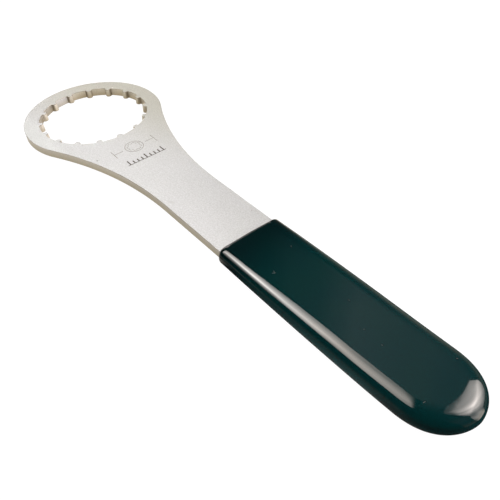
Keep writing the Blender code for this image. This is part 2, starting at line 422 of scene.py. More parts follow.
def coat_loop(z):
    """The coat's outside at one height: a closed loop from the middle of the front, by the -Y side."""
    across = across_at(z)
    over = min(max(abs(z) - (GRIP_HALF_THICKNESS - LIP_RADIUS), 0.0), LIP_RADIUS)
    back = LIP_RADIUS - math.sqrt(LIP_RADIUS**2 - over**2)
    side = []
    for (ox, oy), (fx, fy) in zip(OUTLINE, FLAT):
        fade = max(0.0, (NOSE_START - ox) / (NOSE_START - GRIP_FRONT))
        side.append((ox + (fx - ox) * across + back * fade, oy + (fy - oy) * across))
    mouth = mouth_half(z) if abs(z) <= MOUTH_TOP + 1e-9 else None
    halves = []
    for way, radius in ((-1, LIP_NEAR_CORNER), (1, LIP_FAR_CORNER)):
        front_x = GRIP_FRONT + back
        corner = [
            (front_x + radius * (1 - math.cos(a)), side[0][1] - radius * (1 - math.sin(a)))
            for a in (math.pi / 2 * i / CORNER_STEPS for i in range(CORNER_STEPS))
        ]
        corner_y = corner[0][1]
        inner = mouth or corner_y * 0.94
        front = [(front_x, inner * i / MOUTH_STEPS) for i in range(MOUTH_STEPS + 1)]
        front += [(front_x, inner + (corner_y - inner) * i / CHEEK_STEPS) for i in range(1, CHEEK_STEPS)]
        halves.append([skewed(*as_dipped(x, way * y, mouth)) for x, y in front + corner + side])
    near, far = halves
    return near[:-1] + far[:0:-1]


def as_dipped(x, y, mouth):
    """The lip isn't quite square to the bar, and the coat is a little fuller on its +Y side near the lip."""
    lip = 0.6 * (max(y, 0.0) / 12.0) ** 1.5 - 0.24
    lip *= max(0.0, 1 - max(x - GRIP_FRONT, 0.0) / 7.0)
    fuller = 0.33 - 0.25 * min(max((x - 114.0) / 60.0, 0.0), 1.0)
    fuller *= max(0.0, min(1.0, (NOSE_START - x) / 30.0))
    from_y = mouth + 0.07 if mouth else 8.0
    share = min(max((y - from_y) / (1.2 if mouth else 4.0), 0.0), 1.0)
    return (x + lip, y + fuller * share)


MOUTH_TOP = PLATE_THICKNESS / 2 + COAT_CLEARANCE


def mouth_loop(z):
    """The cavity's wall at one height, from the mouth's -Y corner round the tang to its +Y corner, both left out."""
    half = mouth_half(z)
    inset = BAR_HALF + COAT_CLEARANCE - half
    centre = TANG_TIP - BAR_HALF
    rows = [(GRIP_FRONT + (centre - GRIP_FRONT) * i / 24, -half) for i in range(1, 24)]
    rows += [
        (centre + half * math.sin(a), -half * math.cos(a))
        for a in (math.pi * i / 40 for i in range(41))
    ]
    rows += [(centre + (GRIP_FRONT - centre) * i / 24, half) for i in range(1, 24)]
    return rows


def build_coat(material):
    half = GRIP_HALF_THICKNESS
    steps = 30
    heights = {0.0, half}
    for i in range(1, steps):
        u = math.cos(math.pi / 2 * i / steps)
        heights.add(half * (1 - u**SHOULDER_XY_POWER) ** (1 / SHOULDER_Z_POWER))
    edge = [MOUTH_TOP - EDGE_ROUND * (1 - math.sin(math.pi / 2 * i / 3)) for i in range(4)]
    heights = {h for h in heights if all(abs(h - e) > 0.06 for e in edge)} | set(edge)
    heights = sorted(heights)
    levels = [-h for h in reversed(heights[1:])] + heights
    points, faces = [], []
    loops = []
    for z in levels:
        first = len(points)
        loop = coat_loop(z)
        points += [place(x, y, z) for x, y in loop]
        loops.append(list(range(first, len(points))))
    count = len(loops[0])

    def in_mouth(i):
        return i < MOUTH_STEPS or i >= count - MOUTH_STEPS

    for k, (lower, upper) in enumerate(zip(loops, loops[1:])):
        mouth = max(abs(levels[k]), abs(levels[k + 1])) <= MOUTH_TOP + 1e-9
        for i in range(count):
            if not (mouth and in_mouth(i)):
                j = (i + 1) % count
                faces.append((lower[i], lower[j], upper[j], upper[i]))
    # Flats: loops that close in on the middle line, then one strip of faces.
    inward = 8
    for end, z in ((0, -half), (-1, half)):
        rim = coat_loop(z)
        last = loops[end]
        for n in range(1, inward + 1):
            t = n / inward
            ring = []
            for x, y in rim:
                mid = min(max(x, GRIP_FRONT + LIP_RADIUS + 7.5), GRIP_TIP - SHOULDER_END - 6.5)
                skew_y = skewed(mid, 0.0)[1]
                ring.append((x + (mid - x) * t, y + (skew_y - y) * t * (1 if n < inward else 1)))
            if n < inward:
                first = len(points)
                points += [place(x, y, z) for x, y in ring]
                new = list(range(first, len(points)))
            else:
                # The last ring is flat on the middle line: both sides share its points.
                known, new = {}, []
                for x, y in ring:
                    key = round(x, 4)
                    if key not in known:
                        known[key] = len(points)
                        points.append(place(x, y, z))
                    new.append(known[key])
            for i in range(count):
                j = (i + 1) % count
                corners = [last[i], last[j], new[j], new[i]]
                if end == 0:
                    corners.reverse()
                slim = []
                for c in corners:
                    if c not in slim:
                        slim.append(c)
                if len(slim) > 2:
                    faces.append(tuple(slim))
            last = new
    # Cavity: open at the mouth, where it shares the outside's points.
    inside = []
    for k, z in enumerate(levels):
        if abs(z) <= MOUTH_TOP + 1e-9:
            first = len(points)
            points += [place(x, y, z) for x, y in mouth_loop(z)]
            wall = [loops[k][MOUTH_STEPS], *range(first, len(points)), loops[k][count - MOUTH_STEPS]]
            inside.append((k, wall))
    for (_, lower), (_, upper) in zip(inside, inside[1:]):
        for i in range(len(lower) - 1):
            faces.append((lower[i + 1], lower[i], upper[i], upper[i + 1]))
    for index, flip in ((0, False), (-1, True)):
        k, wall = inside[index]
        front = [loops[k][i] for i in range(count - MOUTH_STEPS + 1, count)] + [
            loops[k][i] for i in range(MOUTH_STEPS)
        ]
        ring = wall + front
        faces.append(tuple(reversed(ring)) if flip else tuple(ring))
    mesh = bpy.data.meshes.new("dipped_coat")
    mesh.from_pydata(points, [], faces)
    mesh.validate(verbose=False)
    mesh.materials.append(material)
    mesh.shade_smooth()
    mesh.set_sharp_from_angle(angle=math.radians(38))
    mesh.update()
    made = bpy.data.objects.new("dipped_coat", mesh)
    bpy.context.scene.collection.objects.link(made)
    return made


# ------------------------------------------------------------------ materials
class Tree:
    """Short calls for wiring a material's nodes."""

    def __init__(self, name):
        self.material = bpy.data.materials.new(name)
        self.material.use_nodes = True
        self.tree = self.material.node_tree
        self.shader = self.tree.nodes["Principled BSDF"]

    def add(self, kind, inputs=(), **settings):
        made = self.tree.nodes.new(kind)
        for key, value in settings.items():
            setattr(made, key, value)
        for key, value in dict(inputs).items():
            self.feed(made.inputs[key], value)
        return made

    def feed(self, socket, value):
        if isinstance(value, bpy.types.NodeSocket):
            self.tree.links.new(value, socket)
        elif isinstance(value, bpy.types.Node):
            self.tree.links.new(value.outputs[0], socket)
        else:
            socket.default_value = value

    def math(self, operation, a, b=0.0, c=0.0, clamp=False):
        made = self.tree.nodes.new("ShaderNodeMath")
        made.operation, made.use_clamp = operation, clamp
        for socket, value in zip(made.inputs, (a, b, c)):
            self.feed(socket, value)
        return made.outputs[0]

    def remap(self, value, low, high, to_low, to_high, smooth=False):
        made = self.add(
            "ShaderNodeMapRange",
            {"Value": value, "From Min": low, "From Max": high, "To Min": to_low, "To Max": to_high},
        )
        made.interpolation_type = "SMOOTHSTEP" if smooth else "LINEAR"
        return made.outputs["Result"]

    def lerp(self, factor, a, b):
        """One number that goes from a to b as the factor goes from 0 to 1."""
        return self.math("MULTIPLY_ADD", self.math("SUBTRACT", b, a), factor, a)

    def noise(self, vector, scale, detail=2.0, rough=0.5):
        return self.add(
            "ShaderNodeTexNoise",
            {"Vector": vector, "Scale": scale, "Detail": detail, "Roughness": rough},
        ).outputs["Fac"]

    def mix(self, factor, a, b, blend="MIX"):
        made = self.tree.nodes.new("ShaderNodeMix")
        made.data_type, made.blend_type = "RGBA", blend
        self.feed(made.inputs[0], factor)
        self.feed(made.inputs[6], a if isinstance(a, (bpy.types.NodeSocket, bpy.types.Node)) else (*a, 1.0))
        self.feed(made.inputs[7], b if isinstance(b, (bpy.types.NodeSocket, bpy.types.Node)) else (*b, 1.0))
        return made.outputs[2]

    def bump(self, height, strength, distance, normal=None):
        inputs = {"Height": height, "Strength": strength, "Distance": distance}
        if normal is not None:
            inputs["Normal"] = normal
        return self.add("ShaderNodeBump", inputs).outputs["Normal"]

    def set(self, name, value):
        self.feed(self.shader.inputs[name], value)


def scaled(t, colour, factor):
    """A colour times a grey factor."""
    grey = t.add("ShaderNodeCombineColor", {"Red": factor, "Green": factor, "Blue": factor})
    return t.mix(1.0, colour, grey, "MULTIPLY")


def fleck(t, where, x, y, length, width, degrees=0.0, rough=0.0):
    """Mask of a small mark on the upper face: 1 inside, 0 outside. Sizes in millimetres."""
    here = place(x, y, 0)
    local = t.add("ShaderNodeVectorMath", {0: where, 1: (here[0], here[1], 0.0)}, operation="SUBTRACT").outputs[0]
    local = t.add(
        "ShaderNodeVectorRotate", {"Vector": local, "Angle": -math.radians(degrees)}, rotation_type="Z_AXIS"
    ).outputs[0]
    local = t.add(
        "ShaderNodeVectorMath", {0: local, 1: (2000.0 / length, 2000.0 / width, 0.0)}, operation="MULTIPLY"
    ).outputs[0]
    far = t.add("ShaderNodeVectorMath", {0: local}, operation="LENGTH").outputs["Value"]
    if rough:
        far = t.math("ADD", far, t.math("MULTIPLY", t.math("SUBTRACT", t.noise(where, 5000.0, 2.0), 0.5), rough))
    return t.remap(far, 0.75, 1.25, 1.0, 0.0)


def steel_face():
    """Satin plated steel: a fine tumbled grain, faint handling marks and a few small pits, with painted light and
    shade across the ring.
    """
    t = Tree("satin_steel")
    where = t.add("ShaderNodeTexCoord").outputs["Object"]
    split = t.add("ShaderNodeSeparateXYZ", {"Vector": where})
    grain = t.noise(where, 1700.0, 3.0, 0.7)
    fine = t.noise(where, 5200.0, 2.0, 0.6)
    mottle = t.noise(where, 330.0, 3.0, 0.6)
    broad = t.noise(where, 22.0, 2.0, 0.5)
    tone = t.mix(t.remap(broad, 0.35, 0.65, 0.0, 1.0), (0.468, 0.496, 0.512), (0.478, 0.506, 0.526))
    # Painted shade: the ring's far side is a little yellower and darker, where less light falls on it.
    far_side = t.math("ADD", t.math("MULTIPLY", split.outputs["X"], -0.45), split.outputs["Y"])
    tone = t.mix(t.remap(far_side, 0.012, 0.066, 0.0, 1.0, True), tone, (0.400, 0.414, 0.382))
    # Painted light: the near part of the ring is lighter and bluer, where more light falls on it.
    tone = t.mix(t.remap(split.outputs["Y"], -0.0218, -0.0262, 0.0, 1.0, True), tone, (0.505, 0.540, 0.552))
    shade = t.math("MULTIPLY", t.remap(grain, 0.3, 0.7, 0.84, 1.15), t.remap(mottle, 0.3, 0.7, 0.975, 1.025))
    shade = t.math("MULTIPLY", shade, t.remap(fine, 0.3, 0.7, 0.93, 1.07))
    colour = scaled(t, tone, shade)
    # Tiny dark pits, scattered.
    cells = t.add("ShaderNodeTexVoronoi", {"Vector": where, "Scale": 190.0}, feature="F1")
    pick = t.add("ShaderNodeSeparateColor", {"Color": cells.outputs["Color"]}).outputs["Red"]
    pit = t.math("MULTIPLY", t.remap(cells.outputs["Distance"], 0.03, 0.06, 1.0, 0.0), t.math("GREATER_THAN", pick, 0.93))
    colour = t.mix(t.math("MULTIPLY", pit, 0.45), colour, (0.20, 0.19, 0.16))
    # The nick beside the symbol, the bright nick on the ring, and a faint rub on the bar.
    colour = t.mix(t.math("MULTIPLY", fleck(t, where, 34.48, -16.98, 0.75, 0.5, 30, 0.5), 0.95), colour, (0.10, 0.095, 0.08))
    colour = t.mix(t.math("MULTIPLY", fleck(t, where, -16.39, 19.27, 0.9, 0.5, 60, 0.4), 0.8), colour, (0.75, 0.76, 0.73))
    rub = t.math("MULTIPLY", fleck(t, where, 77.4, -9.4, 3.4, 1.3, 25, 0.9), t.remap(grain, 0.4, 0.6, 0.0, 0.35))
    colour = t.mix(rub, colour, (0.30, 0.30, 0.29))
    t.set("Base Color", colour)
    t.set("Metallic", 1.0)
    t.set("Roughness", t.remap(mottle, 0.3, 0.7, 0.46, 0.53))
    t.set("Normal", t.bump(fine, 0.35, 0.00003, t.bump(grain, 0.4, 0.00006)))
    return t.material


def steel_wall(name, top, bottom, bore=None):
    """Cut steel: warm, with fine lines up the wall, and painted shade that leaves it lighter toward the upper face and
    darker toward its foot.
    """
    t = Tree(name)
    spot = t.add("ShaderNodeUVMap", uv_map="cut").outputs["UV"]
    split = t.add("ShaderNodeSeparateXYZ", {"Vector": spot})
    along, up = split.outputs["X"], split.outputs["Y"]
    stretched = t.add("ShaderNodeCombineXYZ", {"X": along, "Y": t.math("MULTIPLY", up, 0.10), "Z": 0.0}).outputs[0]
    lines = t.noise(stretched, 2300.0, 3.0, 0.65)
    where = t.add("ShaderNodeTexCoord").outputs["Object"]
    patch = t.noise(where, 210.0, 3.0, 0.6)
    band = t.math("ADD", t.remap(up, -0.0016, 0.0015, 0.0, 1.0), t.math("MULTIPLY", t.math("SUBTRACT", patch, 0.5), 0.7), clamp=True)
    if bore:
        # Painted light and shade on the bore's wall: it is brighter and greyer on the side where more light falls, and
        # every tooth has painted shade in its corners, deepest on the flank turned away from the light.
        here = t.add("ShaderNodeSeparateXYZ", {"Vector": where})
        from_middle = t.math("SUBTRACT", here.outputs["X"], RING_X * 0.001)
        side = t.math("ADD", t.math("MULTIPLY", from_middle, 25.1), t.math("MULTIPLY", here.outputs["Y"], 32.2))
        grey = t.remap(side, -0.35, -0.75, 0.0, 1.0, True)
        base = t.mix(band, t.mix(grey, bottom, bore[1]), t.mix(grey, top, bore[0]))
        pitch = 2 * math.pi / TOOTH_COUNT
        turned = t.math("ARCTAN2", here.outputs["Y"], from_middle)
        offset = t.math("SUBTRACT", t.math("MODULO", t.math("ADD", turned, 4.5 * pitch + 4 * math.pi), pitch), pitch / 2)
        gap = t.math("ABSOLUTE", t.math("SUBTRACT", t.math("ABSOLUTE", offset), 0.054))
        corner = t.remap(gap, 0.006, 0.024, 1.0, 0.0, True)
        leftward = t.remap(offset, -0.005, 0.005, 0.0, 1.0, True)
        right_part = t.remap(side, -0.35, 0.35, 0.0, 1.0, True)
        depth = t.math(
            "ADD",
            t.math("MULTIPLY", leftward, t.remap(right_part, 0.0, 1.0, 0.70, 0.40)),
            t.math("MULTIPLY", t.math("SUBTRACT", 1.0, leftward), t.remap(right_part, 0.0, 1.0, 0.15, 0.65)),
        )
        # Round the ring's left end the wall between the teeth is darker, as painted shade, and the teeth there and on
        # the near side get less painted shade in their corners.
        left_end_shade = t.math("MULTIPLY", t.remap(turned, -2.80, -2.68, 0.0, 1.0, True), t.remap(turned, -1.80, -1.40, 1.0, 0.0, True))
        less_corner_shade = t.math("MULTIPLY", t.remap(turned, -2.70, -2.05, 0.0, 1.0, True), t.remap(turned, 0.9, 1.35, 1.0, 0.0, True))
        between = t.remap(t.math("ABSOLUTE", offset), 0.055, 0.080, 0.0, 1.0, True)
        base = scaled(t, base, t.lerp(t.math("MULTIPLY", left_end_shade, between), 1.0, 0.70))
        # Painted shade: at the ring's very left end the wall between the teeth is darker and bluer.
        beside = t.math("MULTIPLY", t.remap(turned, -2.70, -2.80, 0.0, 1.0, True), between)
        base = t.mix(beside, base, t.mix(1.0, base, (0.86, 0.90, 1.0), "MULTIPLY"))
        depth = t.math("MULTIPLY", depth, t.math("SUBTRACT", 1.0, less_corner_shade))
        # Painted shade in the corners of every tooth.
        base = t.mix(t.math("MULTIPLY", corner, depth), base, (0.17, 0.135, 0.085))
    else:
        base = t.mix(band, bottom, top)
    shade = t.math("MULTIPLY", t.remap(lines, 0.3, 0.7, 0.86, 1.12), t.remap(patch, 0.3, 0.7, 1.05, 0.95))
    t.set("Base Color", scaled(t, base, shade))
    t.set("Metallic", 1.0)
    t.set("Roughness", t.remap(lines, 0.3, 0.7, 0.44, 0.58))
    t.set("Normal", t.bump(lines, 0.4, 0.00006))
    return t.material


def steel_edge(name, dark, light, lower_edge_shade):
    """The rounded edges; the lower edge is darker by a factor, as painted shade where it faces the floor."""
    t = Tree(name)
    where = t.add("ShaderNodeTexCoord").outputs["Object"]
    wear = t.noise(where, 900.0, 3.0, 0.6)
    height = t.add("ShaderNodeSeparateXYZ", {"Vector": where}).outputs["Z"]
    base = t.mix(t.remap(wear, 0.35, 0.65, 0.0, 1.0), dark, light)
    # Painted shade: the lower edge is darker.
    t.set("Base Color", scaled(t, base, t.remap(height, 0.003, 0.004, lower_edge_shade, 1.0, True)))
    t.set("Metallic", 1.0)
    t.set("Roughness", t.remap(wear, 0.3, 0.7, 0.45, 0.58))
    t.set("Normal", t.bump(wear, 0.3, 0.00004))
    return t.material


def etched(name, dark, light, metal):
    """The floor of an etched mark: uneven, because each pulse of the etching left its own dot."""
    t = Tree(name)
    where = t.add("ShaderNodeTexCoord").outputs["Object"]
    dots = t.noise(where, 4200.0, 2.0, 0.6)
    cloud = t.noise(where, 700.0, 2.0, 0.5)
    level = t.math("ADD", t.remap(dots, 0.35, 0.65, 0.0, 0.6), t.remap(cloud, 0.35, 0.65, 0.0, 0.4), clamp=True)
    t.set("Base Color", t.mix(level, dark, light))
    t.set("Metallic", metal)
    t.set("Roughness", t.remap(dots, 0.3, 0.7, 0.62, 0.78))
    t.set("Normal", t.bump(dots, 0.5, 0.00003))
    return t.material


DUST = [
    (131.53, -6.07, 1.35, 0.25, 58, 0.100), (131.02, -5.62, 0.90, 0.24, -30, 0.085), (126.13, 6.47, 0.50, 0.45, 0, 0.050),
    (155.05, 3.39, 0.45, 0.35, 20, 0.034), (165.31, -1.50, 0.50, 0.30, 70, 0.036), (172.36, -1.97, 0.45, 0.40, 0, 0.046),
    (190.99, -7.67, 0.80, 0.32, 80, 0.060), (188.67, 9.97, 0.55, 0.40, 35, 0.050),
]


def vinyl():
    """Glossy, nearly black green coat with a few dust specks cured into its upper face."""
    t = Tree("dipped_vinyl")
    where = t.add("ShaderNodeTexCoord").outputs["Object"]
    split = t.add("ShaderNodeSeparateXYZ", {"Vector": where})
    x = split.outputs["X"]
    cloud = t.noise(where, 60.0, 3.0, 0.5)
    place_in = t.remap(x, 0.024, 0.054, 0.0, 1.0, True)
    colour = t.mix(place_in, (0.0004, 0.0070, 0.0084), (0.0008, 0.0205, 0.0240))
    cloud = t.math("MULTIPLY", t.remap(cloud, 0.35, 0.65, 0.0, 0.4), t.math("MULTIPLY_ADD", place_in, 0.9, 0.1))
    colour = t.mix(cloud, colour, (0.0016, 0.0240, 0.0210))
    upper = t.remap(split.outputs["Z"], 0.0060, 0.0064, 0.0, 1.0, True)
    for dust_x, dust_y, length, width, degrees, tone in DUST:
        mask = t.math("MULTIPLY", fleck(t, where, dust_x, dust_y, length, width, degrees, 0.5), upper)
        colour = t.mix(mask, colour, (tone * 0.85, tone, tone))
    # Painted light low down the near side: the coat is lighter and greener there along the bar and darker toward the
    # tip, standing for the light it takes from the table.
    painted_low_light = t.math("MULTIPLY", t.remap(split.outputs["Z"], 0.0058, 0.0044, 0.0, 1.0, True), t.remap(x, 0.045, 0.085, 0.0, 1.0, True))
    tip = t.remap(x, 0.088, 0.100, 0.0, 1.0, True)
    side = t.lerp(
        tip,
        t.remap(split.outputs["Y"], -0.0100, -0.0125, 0.0, 1.0, True),
        t.remap(split.outputs["Y"], -0.0020, -0.0080, 0.0, 1.0, True),
    )
    colour = t.mix(t.math("MULTIPLY", painted_low_light, side), colour, t.mix(tip, (0.0018, 0.0300, 0.0330), (0.0006, 0.0125, 0.0140)))
    t.set("Base Color", colour)
    skin = t.noise(where, 420.0, 2.0, 0.5)
    rim = t.remap(x, 0.0247, 0.0262, 0.60, 0.0, True)
    t.set("Roughness", t.math("ADD", t.remap(skin, 0.3, 0.7, 0.035, 0.06), rim))
    t.set("IOR", 1.6)
    ripple = t.noise(where, 160.0, 2.0, 0.4)
    t.set("Normal", t.bump(ripple, 0.05, 0.0004))
    return t.material


# --------------------------------------------------------------------- pieces
plate = build_plate(
    [
        steel_face(),
        # Each wall's upper and lower colours, and each edge's last factor, hold painted shade: darker toward the foot
        # and on the lower edge.
        steel_wall("cut_steel", (0.550, 0.530, 0.495), (0.420, 0.390, 0.315)),
        steel_edge("edge_steel", (0.42, 0.42, 0.40), (0.50, 0.51, 0.50), 0.8),
        steel_wall("bore_steel", (0.605, 0.580, 0.510), (0.410, 0.350, 0.245), ((0.84, 0.81, 0.78), (0.64, 0.58, 0.48))),
        steel_edge("bore_edge_steel", (0.34, 0.32, 0.27), (0.42, 0.40, 0.35), 0.6),
        etched("rule_mark", (0.028, 0.022, 0.014), (0.060, 0.050, 0.036), 0.0),
        etched("symbol_mark", (0.22, 0.215, 0.19), (0.36, 0.355, 0.33), 1.0),
    ]
)
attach(plate, "root")
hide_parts("wrench_plate")

coat = build_coat(vinyl())
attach(coat, "root")
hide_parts("grip_sleeve")


# ---------------------------------------------------------------------- stage
def emission(name, colour, strength):
    made = bpy.data.materials.new(name)
    made.use_nodes = True
    made.node_tree.nodes.clear()
    out = made.node_tree.nodes.new("ShaderNodeOutputMaterial")
    glow = made.node_tree.nodes.new("ShaderNodeEmission")
    glow.inputs["Color"].default_value = (*colour, 1.0)
    glow.inputs["Strength"].default_value = strength
    made.node_tree.links.new(glow.outputs[0], out.inputs["Surface"])
    return made


def disc(name, radius, z, material, steps=96):
    mesh = bpy.data.meshes.new(name)
    rim = [
        (radius * math.cos(2 * math.pi * i / steps), radius * math.sin(2 * math.pi * i / steps), z)
        for i in range(steps)
    ]
    mesh.from_pydata(rim, [], [tuple(range(steps))])
    mesh.materials.append(material)
    made = bpy.data.objects.new(name, mesh)
    bpy.context.scene.collection.objects.link(made)
    return made


class Glow:
    """An emission material for a stage object, with its strength wired by the caller."""

    def __init__(self, name, colour=(1.0, 1.0, 1.0), strength=1.0):
        self.material = bpy.data.materials.new(name)
        self.material.use_nodes = True
        self.tree = self.material.node_tree
        self.tree.nodes.clear()
        self.out = self.tree.nodes.new("ShaderNodeOutputMaterial")
        self.glow = self.tree.nodes.new("ShaderNodeEmission")
        self.glow.inputs["Color"].default_value = (*colour, 1.0)
        self.glow.inputs["Strength"].default_value = strength
        self.tree.links.new(self.glow.outputs[0], self.out.inputs["Surface"])

    add, feed, math, remap, lerp, mix = Tree.add, Tree.feed, Tree.math, Tree.remap, Tree.lerp, Tree.mix

    def steps(self, value, low, high, stops):
        """A smooth curve of value, given as (input, output) stops."""
        ramp = self.tree.nodes.new("ShaderNodeValToRGB")
        ramp.color_ramp.interpolation = "LINEAR"
        top = max(out for _, out in stops)
        elements = ramp.color_ramp.elements
        while len(elements) < len(stops):
            elements.new(0.5)
        for element, (at, out) in zip(elements, stops):
            element.position = (at - low) / (high - low)
            element.color = (out / top, out / top, out / top, 1.0)
        self.feed(ramp.inputs["Fac"], self.remap(value, low, high, 0.0, 1.0))
        return self.math("MULTIPLY", ramp.outputs["Color"], top)


class Room:
    """The same short calls on the world's nodes."""

    def __init__(self, tree):
        self.tree = tree

    add, feed, math, remap, mix, steps = Tree.add, Tree.feed, Tree.math, Tree.remap, Tree.mix, Glow.steps


def sheet(name, corners, material, seen_by_camera=False):
    """A flat stage sheet through its corners."""
    mesh = bpy.data.meshes.new(name)
    mesh.from_pydata([tuple(c) for c in corners], [], [tuple(range(len(corners)))])
    mesh.materials.append(material)
    made = bpy.data.objects.new(name, mesh)
    made.visible_camera = seen_by_camera
    bpy.context.scene.collection.objects.link(made)
    return made


# A white floor. Most of its white is its own glow, so that it stays plain and keeps no dark shadow.
floor_look = Tree("pale_floor")
floor_grain = floor_look.noise(floor_look.add("ShaderNodeTexCoord").outputs["Object"], 40.0, 2.0)
floor_look.set("Base Color", floor_look.mix(floor_grain, (0.055, 0.055, 0.055), (0.065, 0.065, 0.065)))
floor_look.set("Roughness", 0.9)
floor_look.set("Specular IOR Level", 0.0)
floor_look.set("Emission Color", (1.0, 1.0, 1.0, 1.0))
floor_look.set("Emission Strength", FLOOR_GLOW)
see_through = floor_look.add("ShaderNodeBsdfTransparent")
under = floor_look.add("ShaderNodeMixShader")
floor_look.feed(under.inputs[0], floor_look.add("ShaderNodeNewGeometry").outputs["Backfacing"])
floor_look.feed(under.inputs[1], floor_look.shader.outputs[0])
floor_look.feed(under.inputs[2], see_through.outputs[0])
floor_look.feed(floor_look.tree.nodes["Material Output"].inputs["Surface"], under)
floor = disc("floor", 6.0, 0.0, floor_look.material)
floor.visible_glossy = False

# What the glossy surfaces see of the table: a warm, darker sheet just under the floor,
# lightest under the ring.
table = Glow("table_tone", TABLE_TONE, 1.0)
table_at = table.add("ShaderNodeSeparateXYZ", {"Vector": table.add("ShaderNodeNewGeometry").outputs["Position"]})
under_ring = table.remap(table_at.outputs["X"], -0.045, -0.005, 1.0, 0.0, True)
under_bar = table.math(
    "MULTIPLY",
    table.remap(table_at.outputs["Y"], -0.030, -0.016, 0.0, 1.0, True),
    table.remap(table_at.outputs["X"], 0.018, 0.026, 1.0, 0.0, True),
)
table.feed(
    table.glow.inputs["Strength"],
    table.math(
        "ADD",
        table.steps(table_at.outputs["X"], -0.2, 0.2, TABLE_STOPS),
        table.math("MULTIPLY", table.math("MAXIMUM", under_ring, under_bar), TABLE_BRIGHT),
    ),
)
table_card = disc("table_tone", 3.0, -0.002, table.material)
table_card.visible_camera = table_card.visible_diffuse = table_card.visible_transmission = False
table_card.visible_shadow = False

# What the matt surfaces get from the table: the floor is lit brighter than it shows.
bounce = disc("table_bounce", 3.0, -0.001, emission("table_bounce", (1.0, 0.97, 0.93), TABLE_BOUNCE))
bounce.visible_camera = bounce.visible_glossy = bounce.visible_transmission = False
bounce.visible_shadow = False
floor.visible_diffuse = False

# White paper all round, seen only by the camera.
backdrop_mesh = bpy.data.meshes.new("backdrop")
backdrop_form = bmesh.new()
bmesh.ops.create_icosphere(backdrop_form, subdivisions=4, radius=14.0)
backdrop_form.to_mesh(backdrop_mesh)
backdrop_form.free()
backdrop_mesh.materials.append(emission("backdrop", (1.0, 1.0, 1.0), 1.0))
backdrop = bpy.data.objects.new("backdrop", backdrop_mesh)
bpy.context.scene.collection.objects.link(backdrop)
backdrop.visible_diffuse = backdrop.visible_glossy = backdrop.visible_transmission = False
backdrop.visible_volume_scatter = backdrop.visible_shadow = False

world = bpy.data.worlds.new("studio")
bpy.context.scene.world = world
world.use_nodes = True
ROOM = Room(world.node_tree)
way = ROOM.add("ShaderNodeSeparateXYZ", {"Vector": ROOM.add("ShaderNodeTexCoord").outputs["Generated"]})
turn = ROOM.math("ARCTAN2", way.outputs["Y"], way.outputs["X"])
rise = ROOM.math("ARCSINE", way.outputs["Z"])


def spread(turns, rises, low, high):
    """Brightness that varies with how far round and how high a direction is, both in degrees."""
    radians = math.radians
    return ROOM.math(
        "MULTIPLY",
        ROOM.steps(turn, radians(low), radians(high), [(radians(a), v) for a, v in turns]),
        ROOM.steps(rise, radians(-5), radians(90), [(radians(a), v) for a, v in rises]),
    )


far_side = ROOM.math("ADD", spread(FAR_LOW_TURN, FAR_LOW_RISE, 60, 180), spread(FAR_HIGH_TURN, FAR_HIGH_RISE, 60, 180))
near_side = spread(NEAR_ROOM_TURN, NEAR_ROOM_RISE, -150, -60)
is_far = ROOM.math("GREATER_THAN", way.outputs["Y"], 0.0)
room_level = ROOM.math("ADD", ROOM.math("MULTIPLY", far_side, is_far), ROOM.math("MULTIPLY", near_side, ROOM.math("SUBTRACT", 1.0, is_far)))
ROOM.feed(world.node_tree.nodes["Background"].inputs["Strength"], ROOM.math("ADD", room_level, ROOM_FILL))
ROOM.feed(
    world.node_tree.nodes["Background"].inputs["Color"],
    ROOM.mix(ROOM.remap(rise, math.radians(18), math.radians(42), 0.0, 1.0, True), (1.0, 0.80, 0.58), (1.0, 0.98, 0.95)),
)

# The overhead diffuser, brightest where its lamp stands.
key = Glow("overhead_diffuser", KEY_TINT)
key_at = key.add("ShaderNodeSeparateXYZ", {"Vector": key.add("ShaderNodeNewGeometry").outputs["Position"]})
key_x = key_at.outputs["X"]
key_along = key.steps(
    key_x, -1.05, 0.0,
    [(-1.02, 8.2), (-0.93, 8.2), (-0.86, 10.8), (-0.78, 15.0), (-0.72, 18.0), (-0.66, 16.0), (-0.57, 11.3), (-0.45, 11.3), (-0.34, 8.4), (-0.18, 6.6), (-0.05, 6.0)],
)
key_across = key.remap(key_at.outputs["Y"], -0.3, 0.5, 1.15 * KEY_LEVEL, 0.65 * KEY_LEVEL)
# The lamps behind it stand in a slanted row, so it falls off to both sides of that row, most where they are nearest.
key_row = key.math("SUBTRACT", key_at.outputs["Y"], key.math("MULTIPLY_ADD", key_x, 0.9, 0.475))
key_far = key.steps(
    key_row, -0.9, 0.7,
    [(-0.85, 0.0), (-0.7, 0.01), (-0.6, 0.02), (-0.5, 0.06), (-0.4, 0.15), (-0.3, 0.26), (-0.22, 0.37), (-0.15, 0.60), (-0.08, 1.00),
     (0.0, 1.25), (0.06, 1.13), (0.12, 0.94), (0.2, 0.79), (0.3, 0.58), (0.4, 0.44), (0.5, 0.35), (0.65, 0.3)],
)
key_mid = key.steps(
    key_row, -0.9, 0.7,
    [(-0.85, 0.02), (-0.65, 0.05), (-0.5, 0.15), (-0.4, 0.36), (-0.3, 0.60), (-0.22, 0.78), (-0.15, 0.97), (-0.08, 1.15), (0.0, 1.33),
     (0.06, 1.29), (0.12, 1.13), (0.2, 1.05), (0.3, 0.94), (0.4, 0.77), (0.5, 0.62), (0.65, 0.5)],
)
key_near = key.steps(
    key_row, -0.9, 0.7,
    [(-0.8, 0.45), (-0.65, 0.55), (-0.5, 0.68), (-0.4, 0.82), (-0.3, 0.97), (-0.22, 1.10), (-0.15, 1.18), (-0.08, 1.20), (0.0, 1.15),
     (0.12, 1.07), (0.2, 0.92), (0.3, 0.62)],
)
key_fall = key.lerp(key.remap(key_x, -0.68, -0.56, 0.0, 1.0, True), key_far, key_mid)
key_fall = key.lerp(key.remap(key_x, -0.42, -0.27, 0.0, 1.0, True), key_fall, key_near)
